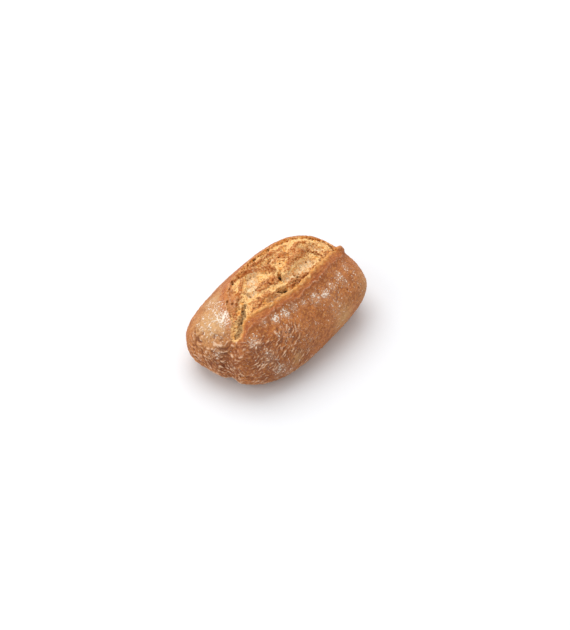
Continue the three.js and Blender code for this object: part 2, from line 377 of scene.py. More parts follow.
@dataclass
class Slash:
    """The slash along the top: its rim, raised lips, folds of skin and torn crumb, in mm.

    A noise field of this class lists layers, each a shift, a lump width and a height.
    """

    rim_corners: tuple[tuple[float, float], ...] = (
        (-48, -7), (-38, -9), (-26, -12.5), (-12, -16), (6, -17), (22, -14.5), (36, -11.5),
        (49, -7), (53, 3), (49, 13), (40, 20), (26, 25), (8, 26.5), (-12, 24), (-27, 18.5),
        (-37, 10), (-43, 1),
    )
    lowest: float = 26.0
    fade: float = 5.0
    tail: tuple[float, float] = (-50, -38)
    near_side: tuple[float, float] = (-5.5, -1.3)
    near_rise: float = 2.3
    far_rise: float = 1.1
    lip_width: float = 3.8
    near_lean: float = 0.75
    far_lean: float = 0.3
    tear_width: float = 1.3
    band_width: float = 4.8
    band_rise: float = 0.6
    fold_rise: float = 1.1
    near_groove: float = 2.2
    far_groove: float = 1.0
    near_groove_width: float = 2.4
    far_groove_width: float = 1.4
    groove_inset: float = 1.3
    crumb_drop: float = 1.0
    feature_gain: float = 1.8
    undercut_radius: float = 1.5
    undercut_inset: float = 1.4
    undercut_depth: float = 1.3
    fraying: Layers = ((0, 6.0, 0.8), (40, 2.1, 0.85))
    lip_swell: Layers = ((80, 13.0, 0.35),)
    band_wander: Layers = ((52, 9.0, 1.4),)
    band_stripes: Layers = ((28, (7.0, 1.5, 1.5), 0.4),)
    crumb_lumps: Layers = ((11, 7.0, 1.25), (5, 3.3, 0.95))
    crumb_shreds: Layers = ((0, 1.3, 0.5),)
    groove_swell: Layers = ((95, 6.0, 0.9),)
    undercut_swell: Layers = ((61, 7.0, 1.0),)
    rim: Array = field(init=False)

    def __post_init__(self) -> None:
        """Draw the rim as a smooth closed line."""
        self.rim = smooth_line(self.rim_corners, closed=True)

    def inward(self, plan: Array) -> Array:
        """Distance from the rim seen from above, positive inside the opening.

        Args:
            plan: x and y of each place in mm.

        Returns:
            One distance in mm for each place.
        """
        inside = np.zeros(len(plan), bool)
        x, y = plan[:, 0], plan[:, 1]
        for a, b in zip(self.rim, self.rim[1:]):
            if a[1] != b[1]:
                crosses = (a[1] > y) != (b[1] > y)
                inside ^= crosses & (x < a[0] + (b[0] - a[0]) * (y - a[1]) / (b[1] - a[1]))
        gap = distance_to_line(plan, self.rim)
        return np.where(inside, gap, -gap)

    def crumb_plan(self, plan: Array, noise: DoughNoise) -> dict[str, Array]:
        """Rise of the crumb features seen from above, and where each form shows.

        Args:
            plan: x and y of each place.
            noise: the dough's noise.

        Returns:
            An array "rise", and one array for each form.
        """
        ragged = noise.layered(at_height_zero(plan), 4.0, 3, 0.6)
        names = ["rise", *(form.value for form in CrumbForm)]
        out = {name: np.zeros(len(plan), np.float32) for name in names}
        for feature in CRUMB_FEATURES:
            share = feature.share(plan, ragged)
            out["rise"] += feature.rise * share
            out[feature.form.value] = np.maximum(out[feature.form.value], share)
        return out

    def section(self, places: Array, body: Array, inward: Array, crumb: dict[str, Array],
                noise: DoughNoise) -> dict[str, Array]:
        """The slash's cross-section at each place.

        Args:
            places: points in mm.
            body: distance to the plain body at each point.
            inward: distance inside the rim seen from above.
            crumb: what crumb_plan gives at each point.
            noise: the dough's noise.

        Returns:
            "rise" is the height over the plain body, "inside" the frayed distance inside the
            rim, "outer" the distance inside the outer fold, "near" 1 at the near lip, "undercut"
            positive in the hollow under the near lip, "shown" 1 where the slash is high enough
            up, "level" the crumb's own relief.
        """
        x, y, z = places.T
        near = 1 - smooth(*self.near_side, y)
        tail = smooth(*self.tail, x)
        lean = blend(self.far_lean, self.near_lean, near) * np.clip(body + 0.6, 0, 3)
        inside = inward + noise.sum(places, self.fraying) - lean
        outer = inside + self.band_width + noise.sum(places, self.band_wander)
        swell = 1 + noise.sum(places, self.lip_swell)
        crest = blend(self.far_rise, self.near_rise, near) * swell * (0.35 + 0.65 * tail)
        band = near * self.band_rise * smooth(-1.2, 0.2, outer)
        fold = near * self.fold_rise * np.exp(-(outer**2))
        stripes = near * noise.sum(places, self.band_stripes) * smooth(-1.0, 1.0, outer)
        lip = crest * np.exp(-((inside / self.lip_width) ** 2)) + (band + fold + stripes) * tail
        level = self._crumb_level(places, crumb, noise)
        floor = level - self.crumb_drop - self._groove(places, inside, near, noise)
        torn = blend(crest + band, floor, smooth(0, self.tear_width, inside))
        shown = smooth(self.lowest, self.lowest + self.fade, z)
        return {"rise": np.where(inside < 0, lip, torn) * shown, "inside": inside,
                "outer": outer, "near": near, "shown": shown, "level": level,
                "undercut": self._undercut(places, inside, body, near, noise)}

    def _crumb_level(self, places: Array, crumb: dict[str, Array], noise: DoughNoise) -> Array:
        """The crumb's own relief: lumps, shreds and the drawn features.

        Args:
            places: points in mm.
            crumb: what crumb_plan gives at each point.
            noise: the dough's noise.

        Returns:
            A height in mm for each point.
        """
        shag = 0.9 * (noise.torn(places + 23, 2.7) - 0.45) + noise.sum(places, self.crumb_shreds)
        shreds = (1 - 0.4 * crumb["pocket"]) * shag
        features = self.feature_gain * crumb["rise"] * (0.4 + 0.6 * smooth(-46, -36, places[:, 0]))
        return noise.sum(places, self.crumb_lumps) + shreds + features

    def _groove(self, places: Array, inside: Array, near: Array, noise: DoughNoise) -> Array:
        """Depth of the groove where the crumb tore away from a lip.

        Args:
            places: points in mm.
            inside: frayed distance inside the rim.
            near: 1 at the near lip.
            noise: the dough's noise.

        Returns:
            A depth in mm for each point.
        """
        depth = blend(self.far_groove, self.near_groove, near)
        depth = depth * (0.25 + 0.75 * smooth(-47, -34, places[:, 0]))
        depth = depth * np.clip(0.75 + noise.sum(places, self.groove_swell), 0.1, 1.3)
        width = blend(self.far_groove_width, self.near_groove_width, near)
        return depth * np.exp(-(((inside - self.groove_inset) / width) ** 2))

    def _undercut(self, places: Array, inside: Array, body: Array, near: Array,
                  noise: DoughNoise) -> Array:
        """The hollow under the near lip, which gapes and closes along the slash.

        Args:
            places: points in mm.
            inside: frayed distance inside the rim.
            body: distance to the plain body at each point.
            near: 1 at the near lip.
            noise: the dough's noise.

        Returns:
            A value for each point, positive in the hollow.
        """
        gape = 0.5 + noise.sum(at_height_zero(places[:, :2]), self.undercut_swell)
        radius = self.undercut_radius * np.clip(gape, 0, 1.25) * near
        radius = radius * smooth(-42, -34, places[:, 0])
        return radius - np.hypot(inside - self.undercut_inset, (body + self.undercut_depth) * 0.9)


@dataclass
class Seam:
    """The pinched seam that runs from the end of the slash down the end of the roll, in mm."""

    corners: tuple[tuple[float, float, float], ...] = (
        (-46, -7, 40), (-53.6, -8, 32), (-58.5, -8.5, 25), (-59, -10.5, 17), (-55.5, -10.5, 8),
        (-48.5, -7, 0),
    )
    depth: float = 5.0
    width: float = 4.2
    crack_depth: float = 0.9
    crack_width: float = 1.6
    crack_wander: float = 0.8
    crack_swell: Layers = ((90, 4.5, 1.3),)

    def cut(self, places: Array, noise: DoughNoise) -> Array:
        """Depth that the seam takes off: a soft valley with a crack along its bottom.

        Args:
            places: points in mm.
            noise: the dough's noise.

        Returns:
            A depth in mm for each point.
        """
        line = smooth_line(self.corners, closed=False)
        gap = distance_to_line(places, line)
        wandering = places + self.crack_wander * noise.three(places, (0, 30, 60), 5.0)
        crack_gap = distance_to_line(wandering, line)
        z = places[:, 2]
        valley = self.depth * (0.5 + 0.5 * smooth(6, 24, z)) * np.exp(-((gap / self.width) ** 2))
        uneven = np.clip(0.45 + noise.sum(places, self.crack_swell), 0.1, 1.3)
        crack = self.crack_depth * uneven * (0.45 + 0.55 * smooth(36, 28, z))
        return valley + crack * np.exp(-((crack_gap / self.crack_width) ** 2))


@dataclass
class Creases:
    """Fine folds in the skin: gathers round the seam end and long streaks on the near flank."""

    gather_depth: float = 0.8
    knot_depth: float = 0.48
    wide_depth: float = 0.35
    streak_depth: float = 0.42
    skin_depth: float = 0.25
    streak_slope: float = 0.65
    gathers: Layers = ((9, (5.0, 5.0, 1.1), 1.0), (70, (2.6, 2.6, 0.8), 0.8))
    wide_folds: Layers = ((60, (9.0, 9.0, 3.6), 1.0),)
    streaks: Layers = ((44, (4.6, 4.6, 0.95), 1.0), (0, (3.0, 3.0, 0.75), 0.7))

    def zones(self, places: Array) -> tuple[Array, Array, Array]:
        """Where each kind of crease shows.

        Args:
            places: points in mm.

        Returns:
            Shares from 0 to 1 of the gathers, the knotted folds and the streaks.
        """
        x, y, z = places.T
        end = smooth(-38, -50, x) * smooth(42, 30, z) * smooth(30, 10, y) * smooth(-25, -15, y)
        knotted = end * smooth(30, 20, z) * smooth(16, 4, y)
        streak = smooth(4, -20, x) * smooth(-12, -20, y) * smooth(44, 37, z) * (1 - end)
        return end - knotted, knotted, streak

    def height(self, places: Array, noise: DoughNoise) -> tuple[Array, Array, Array]:
        """Height of the creases and how creased the skin is.

        Args:
            places: points in mm.
            noise: the dough's noise.

        Returns:
            The height in mm, and 0 to 1 masks of the crease crests and bottoms.
        """
        gather, knotted, streak = self.zones(places)
        bent = (places + 1.3 * noise.three(places, (3, 33, 63), 8.0)
                + 0.4 * noise.three(places, (13, 43, 73), 2.4))
        x, y, z = bent.T
        rings = np.column_stack([x, y, 0.9 * z - 0.43 * x])
        folds = np.clip(noise.sum(rings, self.gathers), -0.6, 1.2)
        left = np.column_stack([x + y, y - x, z - 0.7 * y])
        right = np.column_stack([x, y + z, 0.75 * z - 0.8 * y])
        knots = (noise.value(left + 15, (3.6, 4.0, 1.05))
                 + noise.value(right + 25, (4.0, 3.6, 1.0)) + 0.5 * noise.value(bent, 1.0))
        slope = self.streak_slope
        tilted = np.column_stack([x + slope * z, y, z - slope * x])
        broken = smooth(-0.65, -0.05, noise.value(places + 31, 7.0))
        lines = noise.sum(tilted, self.streaks) * broken
        relief = 1.1 * gather * folds + knotted * knots + streak * lines
        skin = noise.layered(places + 90, 1.9, 2, 0.6) + 0.6 * noise.value(places + 7, 6.0)
        wide = noise.sum(rings, self.wide_folds) * (gather + knotted)
        height = (self.gather_depth * gather * folds + self.knot_depth * knotted * knots
                  + self.wide_depth * wide
                  + self.streak_depth * streak * np.clip(lines, -0.3, 1)
                  + self.skin_depth * skin)
        return height, smooth(0.3, 0.75, relief), smooth(-0.15, -0.6, relief)


@dataclass(frozen=True)
class Patch:
    """A round place where a finish shows most, in mm."""

    at: tuple[float, float, float]
    reach: float
    cover: float


FLOUR_PATCHES = (
    Patch((-43, 6, 40), 6.5, 1.0), Patch((-40, 14, 40), 7.0, 0.62),
    Patch((-36, 22, 38), 7.0, 0.5), Patch((-50, 10, 33), 8.0, 0.35),
    Patch((-18, -21, 43), 3.6, 0.85), Patch((-25, -19, 43), 3.6, 0.8),
    Patch((-11, -21, 43), 3.6, 0.72), Patch((-32, -16, 43), 3.5, 0.5),
    Patch((-4, -22, 42), 4.0, 0.55), Patch((5, -25, 41), 5.0, 0.68),
    Patch((13, -26, 39), 5.0, 0.66), Patch((20, -25, 40), 4.5, 0.6),
    Patch((30, -23, 40), 4.5, 0.66), Patch((31, -27, 37), 5.0, 0.45),
    Patch((40, -19, 37), 4.5, 0.5), Patch((-43, -18, 36), 5.0, 0.62),
    Patch((-40, -26, 28), 7.0, 0.55), Patch((-36, -33, 18), 6.0, 0.6),
    Patch((-30, -35, 12), 5.0, 0.55), Patch((-25, -27, 36), 7.0, 0.4),
    Patch((-57, -2, 28), 5.0, 0.45), Patch((10, 33, 30), 12.0, 0.42),
    Patch((38, 30, 30), 9.0, 0.4), Patch((-20, 34, 28), 9.0, 0.4),
    Patch((57, 8, 28), 8.0, 0.35), Patch((-45, 10, 36), 13.0, 0.6),
    Patch((15, -30, 32), 13.0, 0.36), Patch((-12, -31, 30), 14.0, 0.28),
    Patch((38, -26, 28), 10.0, 0.32),
)
# crust that baked paler low down, and painted light on the lobe top
PALE_PLACES = (
    Patch((20, -36, 20), 9.0, 0.8), Patch((45, -28, 24), 8.0, 0.7),
    Patch((-24, -36, 20), 4.0, 0.8), Patch((48, 26, 16), 10.0, 0.6),
    Patch((0, 36, 12), 14.0, 0.5), Patch((58, 0, 14), 9.0, 0.5),
    # painted light: these two patches on the lobe top
    Patch((-48, 11, 36), 13.0, 1.0), Patch((-34, 22, 38), 10.0, 0.7),
)
# painted shade: darker patches low on the flanks and in the seam fold
PAINTED_SHADE_PLACES = (
    Patch((-46, -23, 30), 13.0, 1.0), Patch((-58, -8, 24), 12.0, 1.0),
    Patch((-38, -32, 18), 14.0, 0.9),
    Patch((-20, -35, 16), 14.0, 0.5), Patch((30, 34, 20), 16.0, 0.5),
    Patch((50, 14, 30), 9.0, 0.5),
)


def spread(patches: Sequence[Patch], places: Array) -> Array:
    """Cover that a set of patches gives.

    Args:
        patches: the patches.
        places: points in mm.

    Returns:
        A share from 0 to 1 for each point.
    """
    cover = np.zeros(len(places), np.float32)
    for patch in patches:
        gap = np.sum((places - np.asarray(patch.at)) ** 2, axis=1) / patch.reach**2
        cover = np.maximum(cover, patch.cover * np.exp(-gap))
    return cover


@dataclass
class DoughField:
    """The solid field of the roll on a grid of small cells, negative inside, in mm."""

    body: PlainBody
    slash: Slash
    seam: Seam
    noise: DoughNoise
    cell: float
    margin: float = 4.0
    band: float = 7.0
    slash_reach: float = 14.0
    seam_end: float = -36.0
    seam_side: float = 10.0
    pore_seed: int = 5
    pore_count: int = 380
    pore_inset: float = 1.2
    pore_radius: float = 0.28
    pit_count: int = 110
    pit_radius: tuple[float, float] = (0.3, 0.75)
    pit_height: tuple[float, float] = (8.0, 44.0)
    axes: Axes = field(init=False)
    values: Array = field(init=False)

    def __post_init__(self) -> None:
        """Lay out the cells along x, y and z, and fill them with the risen body."""
        half = (self.body.length / 2 + self.margin, self.body.width / 2 + self.margin)
        ends = ((-half[0], half[0]), (-half[1], half[1]),
                (-3.5 * self.cell, self.body.height + self.margin))
        self.axes = tuple(np.arange(low, high, self.cell, dtype=np.float32) for low, high in ends)
        self.values = risen_body(self.body, *np.ix_(*self.axes))

    def grow(self) -> tuple[Array, Axes]:
        """Slash, pinch and pierce the dough.

        Returns:
            The field and the three axes it lies on.
        """
        self._open_slash()
        self._pinch_seam()
        source = np.random.default_rng(self.pore_seed)
        self._bore_pores(source)
        self._bore_pits(source)
        return np.maximum(self.values, -self.axes[2]), self.axes

    def _skin_cells(self, wanted: Array) -> tuple[Axes, Array]:
        """Cells near the skin where they are wanted.

        Args:
            wanted: true where a cell may be taken; its axes broadcast.

        Returns:
            The cells' three indices, and their places in mm.
        """
        cells = np.nonzero(wanted & (np.abs(self.values) < self.band))
        return cells, np.column_stack([axis[index] for axis, index in zip(self.axes, cells)])

    def _open_slash(self) -> None:
        """Raise the lips and tear the crumb in every cell near the slash."""
        ax, ay, az = self.axes
        plan = np.stack(np.meshgrid(ax, ay, indexing="ij"), axis=-1).reshape(-1, 2)
        inward = self.slash.inward(plan)
        crumb = self.slash.crumb_plan(plan, self.noise)
        near_slash = (inward.reshape(len(ax), len(ay)) > -self.slash_reach)[:, :, None]
        cells, places = self._skin_cells(near_slash & (az > self.slash.lowest))
        column = cells[0] * len(ay) + cells[1]
        body = self.values[cells]
        crumb = {name: part[column] for name, part in crumb.items()}
        parts = self.slash.section(places, body, inward[column], crumb, self.noise)
        closed = 2 * self.band * (1 - parts["shown"])
        self.values[cells] = np.maximum(body - parts["rise"], parts["undercut"] - closed)

    def _pinch_seam(self) -> None:
        """Cut the pinched seam into the end of the roll."""
        ax, ay, _ = self.axes
        near_seam = (ax < self.seam_end)[:, None, None] & (ay < self.seam_side)[:, None]
        cells, places = self._skin_cells(near_seam)
        self.values[cells] += self.seam.cut(places, self.noise)

    def _bore_pores(self, source: np.random.Generator) -> None:
        """Open small round pores in the crumb, the larger ones in its pockets.

        Args:
            source: the random draws.
        """
        ax, ay, az = self.axes
        top = az[len(az) - 1 - np.argmax((self.values < 0)[:, :, ::-1], axis=2)]
        low, high = self.slash.rim.min(axis=0), self.slash.rim.max(axis=0)
        spots = source.uniform(low, high, (self.pore_count * 2, 2)).astype(np.float32)
        spots = spots[self.slash.inward(spots) > self.pore_inset][: self.pore_count]
        pocket = self.slash.crumb_plan(spots, self.noise)["pocket"]
        for (x, y), hollow, dice in zip(spots, pocket, source.random((len(spots), 2))):
            radius = self.pore_radius + 0.4 * dice[0] ** 3 + 0.4 * hollow * dice[1] ** 2
            height = top[np.searchsorted(ax, x) - 1, np.searchsorted(ay, y) - 1]
            self._bore((x, y, height - 0.25 * radius), radius)

    def _bore_pits(self, source: np.random.Generator) -> None:
        """Open a few pits in the crust, each where a level ray from outside meets it.

        Args:
            source: the random draws.
        """
        ax, ay, az = self.axes
        for _ in range(self.pit_count):
            turn, rise = source.uniform(0, 2 * math.pi), source.uniform(*self.pit_height)
            ray = np.array([math.cos(turn) * self.body.length, math.sin(turn) * self.body.width]) / 2
            line = ray * np.linspace(1.1, 0.3, 160)[:, None]
            i = np.clip(np.searchsorted(ax, line[:, 0]), 0, len(ax) - 1)
            j = np.clip(np.searchsorted(ay, line[:, 1]), 0, len(ay) - 1)
            first = int(np.argmax(self.values[i, j, int(np.searchsorted(az, rise))] < 0))
            self._bore((*line[first], rise), source.uniform(*self.pit_radius))

    def _bore(self, at: Sequence[float], radius: float) -> None:
        """Take one small ball out of the field.

        Args:
            at: the ball's centre.
            radius: its radius in mm.
        """
        window, squares = [], []
        for axis, centre in zip(self.axes, at):
            low, high = np.searchsorted(axis, (centre - radius - 1, centre + radius + 1))
            window.append(slice(low, high))
            squares.append((axis[low:high] - centre) ** 2)
        across, along, upward = np.ix_(*squares)
        block = self.values[tuple(window)]
        np.maximum(block, radius - np.sqrt(across + along + upward), out=block)


@dataclass
class FineMesh:
    """Points and four-cornered faces of a fine closed surface, in mm."""

    points: Array
    quads: Array
    edges: Array = field(init=False)

    def __post_init__(self) -> None:
        """List every face's edges, so that a point can be averaged with its neighbours."""
        self.edges = np.vstack([self.quads[:, [k, (k + 1) % 4]] for k in range(4)])

    @classmethod
    def from_field(cls, values: Array, axes: Axes) -> "FineMesh":
        """Cover the inside of a field with small faces.

        Args:
            values: the field, negative inside.
            axes: cell positions in mm.

        Returns:
            The largest closed surface, faces pointing out.
        """
        grid = openvdb.FloatGrid(background=1.0)
        grid.copyFromArray(np.clip(values, -3, 3).astype(np.float32))
        points, _, quads = grid.convertToPolygons(isovalue=0.0, adaptivity=0.0)
        cell = float(axes[0][1] - axes[0][0])
        origin = np.array([axis[0] for axis in axes], np.float32)
        return cls(points * cell + origin, quads.astype(np.int64)).largest_piece().facing_out()

    def largest_piece(self) -> "FineMesh":
        """Drop loose crumbs.

        Returns:
            The piece with the most points.
        """
        start, end = self.edges.T
        label = np.arange(len(self.points))
        while True:
            lowest = label.copy()
            np.minimum.at(lowest, start, label[end])
            np.minimum.at(lowest, end, lowest[start])
            lowest = lowest[lowest]
            if np.array_equal(lowest, label):
                break
            label = lowest
        keep = label == np.argmax(np.bincount(label))
        renumber = np.cumsum(keep) - 1
        return FineMesh(self.points[keep], renumber[self.quads[keep[self.quads[:, 0]]]])

    def facing_out(self) -> "FineMesh":
        """Turn the faces over if the volume they close is negative.

        Returns:
            The mesh with its faces pointing out.
        """
        a, b, c, d = (self.points[self.quads[:, k]] for k in range(4))
        volume = np.sum(a * (np.cross(b, c) + np.cross(c, d)))
        return FineMesh(self.points, self.quads[:, ::-1]) if volume < 0 else self

    def averaged_points(self, rounds: int) -> Array:
        """The points, averaged over their neighbours.

        Args:
            rounds: how many times they are averaged.

        Returns:
            The softened points in mm.
        """
        start, end = self.edges.T
        size = len(self.points)
        count = np.bincount(start, minlength=size) + np.bincount(end, minlength=size)
        out = self.points.astype(np.float32)
        for _ in range(rounds):
            total = np.column_stack([np.bincount(start, column[end], size)
                                     + np.bincount(end, column[start], size)
                                     for column in out.T])
            out = (0.5 * out + 0.5 * total / count[:, None]).astype(np.float32)
        return out

    def normals(self) -> Array:
        """The way out of the surface.

        Returns:
            A unit direction for each point.
        """
        a, b, c, d = (self.points[self.quads[:, k]] for k in range(4))
        facing = np.cross(c - a, d - b)
        total = np.column_stack([sum(np.bincount(self.quads[:, k], part, len(self.points))
                                     for k in range(4)) for part in facing.T])
        length = np.maximum(np.linalg.norm(total, axis=1, keepdims=True), 1e-9)
        return (total / length).astype(np.float32)


# --------------------------------------------------------------------------- shader nodes

FLOAT = "NodeSocketFloat"
SOCKET_KINDS = {"Place": "NodeSocketVector", "Colour": "NodeSocketColor"}
MIX_SOCKETS = {"RGBA": (6, 7, 2), "FLOAT": (2, 3, 0)}  # first input, second input, output
SURFACE = ("Colour", "Roughness", "Height")
MOTTLE = ("Blotch", "Speck", "Grain")
CRUST_MASKS = ("Dark", "Pale", "Band", "Outer", "Lift", "Crest", "Fold", "Rim")
CRUMB_MASKS = ("Peak", "Pocket", "Hollow", "Lift", "Rim")


class NodeBench:
    """Short words for building one node tree."""

    def __init__(self, tree: bpy.types.NodeTree) -> None:
        """Work on the node tree of a material or a group."""
        self.tree = tree

    @classmethod
    def for_group(cls, name: str, inputs: Sequence[str], outputs: Sequence[str]) -> "NodeBench":
        """Start a shader node group, to be built once and placed with its own values.

        Args:
            name: the group's name.
            inputs: names of its input sockets.
            outputs: names of its output sockets.

        Returns:
            A bench on the group's tree.
        """
        tree = bpy.data.node_groups.new(name, "ShaderNodeTree")
        for direction, sockets in (("INPUT", inputs), ("OUTPUT", outputs)):
            for socket in sockets:
                kind = SOCKET_KINDS.get(socket, FLOAT)
                tree.interface.new_socket(name=socket, in_out=direction, socket_type=kind)
        tree.nodes.new("NodeGroupInput").name = "given"
        tree.nodes.new("NodeGroupOutput").name = "result"
        return cls(tree)

    @classmethod
    def for_material(cls, name: str) -> tuple[bpy.types.Material, "NodeBench", bpy.types.Node]:
        """Start a material.

        Args:
            name: the material's name.

        Returns:
            The material, a bench on its tree, and its Principled BSDF.
        """
        material = bpy.data.materials.new(name)
        material.use_nodes = True
        tree = material.node_tree
        return material, cls(tree), tree.nodes["Principled BSDF"]

    def given(self, name: str) -> bpy.types.NodeSocket:
        """A value that is given to the group."""
        return self.tree.nodes["given"].outputs[name]

    def give(self, **values: object) -> None:
        """Give the group's results by name."""
        for name, value in values.items():
            self.feed(self.tree.nodes["result"].inputs[name], value)

    def add(self, kind: str, **settings: object) -> bpy.types.Node:
        """Add a node and set its properties.

        Args:
            kind: the node's type name.
            settings: property values by name.

        Returns:
            The node.
        """
        node = self.tree.nodes.new(kind)
        for name, value in settings.items():
            setattr(node, name, value)
        return node

    def feed(self, target: bpy.types.NodeSocket, value: object) -> None:
        """Link a socket to the target, or set the target to a plain value.

        Args:
            target: the input socket.
            value: a socket, a number, a place or a colour.
        """
        if isinstance(value, bpy.types.NodeSocket):
            self.tree.links.new(value, target)
        elif isinstance(value, tuple) and len(value) == 3 and len(target.default_value) == 4:
            target.default_value = (*value, 1.0)
        else:
            target.default_value = value

    def fed(self, kind: str, values: Sequence[object], **settings: object) -> bpy.types.NodeSocket:
        """Add a node and feed its inputs in order.

        Args:
            kind: the node's type name.
            values: what its inputs take.
            settings: property values by name.

        Returns:
            The node's first output.
        """
        node = self.add(kind, **settings)
        for socket, value in zip(node.inputs, values):
            self.feed(socket, value)
        return node.outputs[0]

    def math(self, operation: str, *values: object) -> bpy.types.NodeSocket:
        """A math node's result."""
        return self.fed("ShaderNodeMath", values, operation=operation)

    def times(self, first: object, second: object) -> bpy.types.NodeSocket:
        """The product of two values."""
        return self.math("MULTIPLY", first, second)

    def plus(self, first: object, second: object) -> bpy.types.NodeSocket:
        """The sum of two values."""
        return self.math("ADD", first, second)

    def shifted(self, place: object, shift: Colour) -> bpy.types.NodeSocket:
        """A place moved by a shift in mm, so that two patterns don't line up."""
        return self.fed("ShaderNodeVectorMath", (place, shift), operation="ADD")

    def stretched(self, place: object, factors: Colour) -> bpy.types.NodeSocket:
        """A place multiplied by a factor for each axis."""
        return self.fed("ShaderNodeVectorMath", (place, factors), operation="MULTIPLY")

    def place_in_mm(self) -> bpy.types.NodeSocket:
        """The place on the object itself, in mm."""
        place = self.add("ShaderNodeTexCoord").outputs["Object"]
        return self.stretched(place, (1 / MM, 1 / MM, 1 / MM))

    def mix(self, share: object, low: object, high: object,
            kind: str = "RGBA") -> bpy.types.NodeSocket:
        """Mix two colours or two numbers.

        Args:
            share: how much of the second there is.
            low: the first.
            high: the second.
            kind: RGBA for colours, FLOAT for numbers.

        Returns:
            The mixed value.
        """
        node = self.add("ShaderNodeMix", data_type=kind, clamp_factor=True)
        first, second, out = MIX_SOCKETS[kind]
        self.feed(node.inputs["Factor"], share)
        self.feed(node.inputs[first], low)
        self.feed(node.inputs[second], high)
        return node.outputs[out]

    def ease(self, value: object, low: float, high: float, to_low: float = 0.0,
             to_high: float = 1.0) -> bpy.types.NodeSocket:
        """Rise smoothly from to_low to to_high as the value goes from low to high."""
        limits = (value, low, high, to_low, to_high)
        return self.fed("ShaderNodeMapRange", limits, interpolation_type="SMOOTHSTEP")

    def coat(self, colour: object, over: object, value: object, low: float, high: float,
             most: float = 1.0) -> bpy.types.NodeSocket:
        """Lay one colour over another, up to most of it, as the value goes from low to high."""
        return self.mix(self.ease(value, low, high, 0.0, most), colour, over)

    def broken(self, share: object, value: object, low: float, high: float, at_low: float,
               at_high: float) -> bpy.types.NodeSocket:
        """A share broken up by a pattern that goes from low to high."""
        return self.times(share, self.ease(value, low, high, at_low, at_high))

    def noise(self, place: object, size: object, detail: float = 2.0, rough: float = 0.55,
              bend: float = 0.0) -> bpy.types.NodeSocket:
        """Noise about 0.5.

        Args:
            place: a place in mm.
            size: width of the lumps in mm.
            detail: how many finer layers there are.
            rough: how strong the finer layers are.
            bend: how much the lumps are warped.

        Returns:
            The noise.
        """
        node = self.add("ShaderNodeTexNoise")
        scale = 1.0 / size if isinstance(size, float) else self.math("DIVIDE", 1.0, size)
        for name, value in (("Vector", place), ("Scale", scale), ("Detail", detail),
                            ("Roughness", rough), ("Distortion", bend)):
            self.feed(node.inputs[name], value)
        return node.outputs["Fac"]

    def mask(self, name: str) -> bpy.types.NodeSocket:
        """A value stored on the mesh's points."""
        return self.add("ShaderNodeAttribute", attribute_name=name).outputs["Fac"]

    def group(self, tree: bpy.types.NodeTree, **values: object) -> list[bpy.types.NodeSocket]:
        """Place a built group.

        Args:
            tree: the built group.
            values: its inputs by name.

        Returns:
            Its outputs, in the group's own order.
        """
        node = self.add("ShaderNodeGroup", node_tree=tree)
        for name, value in values.items():
            self.feed(node.inputs[name], value)
        return list(node.outputs)


@cache
def build_mottle() -> bpy.types.NodeTree:
    """Mottle: blotches, specks and grain of a baked or powdered surface, built on its first use.

    Returns:
        The group. Place is in mm and Size is the width of the blotches in mm.
    """
    bench = NodeBench.for_group("Mottle", ("Place", "Size"), MOTTLE)
    for name, share, detail, rough in zip(MOTTLE, (1.0, 0.22, 0.07), (3.0, 3.0, 2.0),
                                          (0.6, 0.65, 0.6)):
        size = bench.times(bench.given("Size"), share)
        bench.give(**{name: bench.noise(bench.given("Place"), size, detail, rough)})
    return bench.tree


@dataclass(frozen=True)
class FlourFinish:
    """Dusted flour: dry, white and clumped."""

    colour: Colour = linear(255, 242, 226)
    thin_colour: Colour = linear(238, 204, 170)
    flake_size: float = 1.0
    clump_size: float = 3.4
    powder_size: float = 0.4
    thickness: float = 0.22
    haze: float = 0.4

    def build(self) -> bpy.types.NodeTree:
        """Make the group that turns a cover into flakes of flour.

        Returns:
            A group with outputs Mask, Colour and Height in mm.
        """
        bench = NodeBench.for_group("Flour dusting", ("Place", "Cover"),
                                    ("Mask", "Colour", "Height"))
        place, cover = bench.given("Place"), bench.given("Cover")
        flakes = bench.noise(place, self.flake_size, 3.0, 0.65, 0.4)
        clumps = bench.noise(bench.shifted(place, (31.0, 7.0, 13.0)), self.clump_size)
        powder = bench.noise(bench.shifted(place, (3.0, 71.0, 5.0)), self.powder_size)
        heap = bench.plus(bench.times(flakes, 0.72), bench.times(clumps, 0.28))
        level = bench.plus(heap, bench.times(cover, 0.2))
        thick = bench.broken(bench.ease(level, 0.6, 0.7), powder, 0.3, 0.55, 0.5, 1.0)
        haze = bench.broken(bench.ease(cover, 0.05, 0.9, 0.0, self.haze), powder,
                            0.4, 0.65, 0.3, 1.0)
        bench.give(Mask=bench.math("MAXIMUM", thick, haze),
                   Colour=bench.mix(thick, self.thin_colour, self.colour),
                   Height=bench.times(thick, self.thickness))
        return bench.tree


